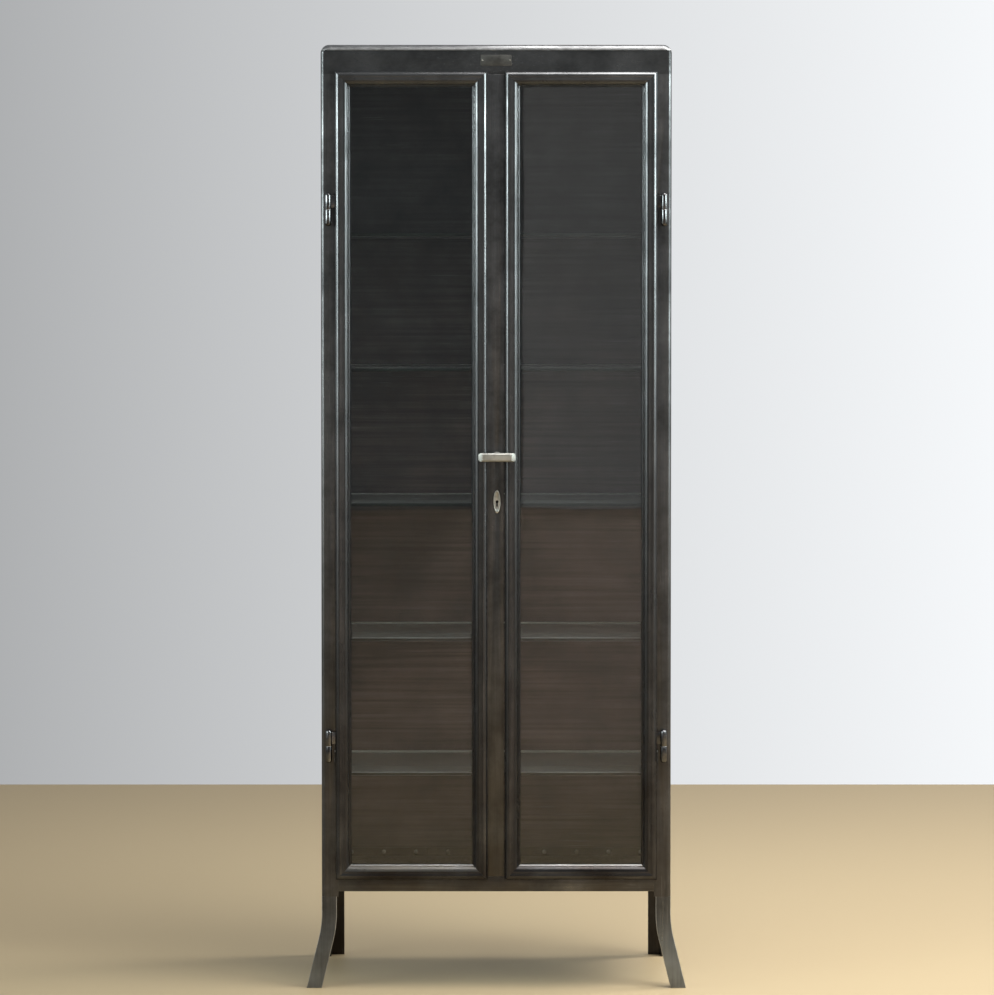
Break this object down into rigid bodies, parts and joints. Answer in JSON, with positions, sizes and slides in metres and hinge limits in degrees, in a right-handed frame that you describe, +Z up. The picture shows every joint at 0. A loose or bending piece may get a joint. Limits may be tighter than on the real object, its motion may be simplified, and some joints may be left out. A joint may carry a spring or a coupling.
{
  "type": "medicine cabinet",
  "caption": "Tall free-standing steel medicine cabinet with glazed double doors, glass shelves, rod-locking T-bar handle and splayed front legs.",
  "frame": {"origin": "floor level under the middle of the whole cabinet, handle included", "axes": "+Z up, front with the doors faces -Y, +X to the right seen from the front"},
  "size_m": [0.7098, 0.396, 1.76],
  "materials": {
    "dark_steel": "satin, blackened and waxed bare steel",
    "dark_steel_inside": "matt",
    "satin_nickel": "satin nickel",
    "bright_steel": "plain",
    "brass_gear": "plain",
    "clear_glass": "clear"
  },
  "bodies": {
    "carcass": {"back_panel": "dark_steel_inside", "back_panel_rivets": "dark_steel_inside", "bare_plate": "satin_nickel", "bare_plate_rivets": "satin_nickel", "floor_panel": "dark_steel_inside", "front_left_leg": "dark_steel", "front_right_leg": "dark_steel", "glass_shelf_1": "clear_glass", "glass_shelf_2": "clear_glass", "glass_shelf_3": "clear_glass", "glass_shelf_4": "clear_glass", "glass_shelf_5": "clear_glass", "header_rail": "dark_steel", "hinge_pins": "bright_steel", "hinge_post_knuckles": "dark_steel", "left_front_post": "dark_steel", "left_rear_post": "dark_steel", "left_side_panel": "dark_steel_inside", "rear_left_leg": "dark_steel", "rear_right_leg": "dark_steel", "right_front_post": "dark_steel", "right_rear_post": "dark_steel", "right_side_panel": "dark_steel_inside", "rod_keeps": "bright_steel", "shelf_runners": "dark_steel_inside", "sill_rail": "dark_steel", "top_panel": "dark_steel"},
    "left_door": {"left_door_hinge_stile": "dark_steel", "left_door_meeting_stile": "dark_steel", "left_door_top_rail": "dark_steel", "left_door_bottom_rail": "dark_steel", "left_door_glass": "clear_glass", "left_door_glass_retainers": "dark_steel_inside", "left_door_hinge_knuckles": "dark_steel", "closing_strip": "dark_steel", "escutcheon": "satin_nickel", "escutcheon_screws": "satin_nickel", "handle_rose": "satin_nickel", "gear_case": "dark_steel_inside", "lock_case": "dark_steel_inside", "rod_guides": "bright_steel"},
    "right_door": {"right_door_hinge_stile": "dark_steel", "right_door_meeting_stile": "dark_steel", "right_door_top_rail": "dark_steel", "right_door_bottom_rail": "dark_steel", "right_door_glass": "clear_glass", "right_door_glass_retainers": "dark_steel_inside", "right_door_hinge_knuckles": "dark_steel", "bolt_strike": "bright_steel"},
    "handle": {"handle_bar": "satin_nickel", "handle_spindle": "bright_steel", "rod_pinion": "brass_gear"},
    "upper_rod": {"upper_rod": "bright_steel"},
    "lower_rod": {"lower_rod": "bright_steel"},
    "lock_bolt": {"lock_bolt": "bright_steel"}
  },
  "joints": [
    {"name": "left_door_swing", "type": "hinge", "parent": "carcass", "child": "left_door", "pos_m": [-0.312, -0.1683, 0.455], "axis": [0, 0, -1], "range_deg": [0, 150]},
    {"name": "right_door_swing", "type": "hinge", "parent": "carcass", "child": "right_door", "pos_m": [0.312, -0.1683, 0.455], "axis": [0, 0, 1], "range_deg": [0, 150]},
    {"name": "handle_turn", "type": "hinge", "parent": "left_door", "child": "handle", "pos_m": [0.0015, -0.162, 0.995], "axis": [0, 1, 0], "range_deg": [0, 90]},
    {"name": "upper_rod_slide", "type": "slide", "parent": "left_door", "child": "upper_rod", "axis": [0, 0, 1], "range_m": [0, 0.00943]},
    {"name": "lower_rod_slide", "type": "slide", "parent": "left_door", "child": "lower_rod", "axis": [0, 0, -1], "range_m": [0, 0.00943]},
    {"name": "lock_bolt_slide", "type": "slide", "parent": "left_door", "child": "lock_bolt", "axis": [1, 0, 0], "range_m": [0, 0.008]}
  ],
  "couplings": [
    {"joint": "right_door_swing", "follows": "left_door_swing", "ratio": 1},
    {"joint": "upper_rod_slide", "follows": "handle_turn", "m_per_rad": 0.006},
    {"joint": "lower_rod_slide", "follows": "handle_turn", "m_per_rad": 0.006}
  ]
}
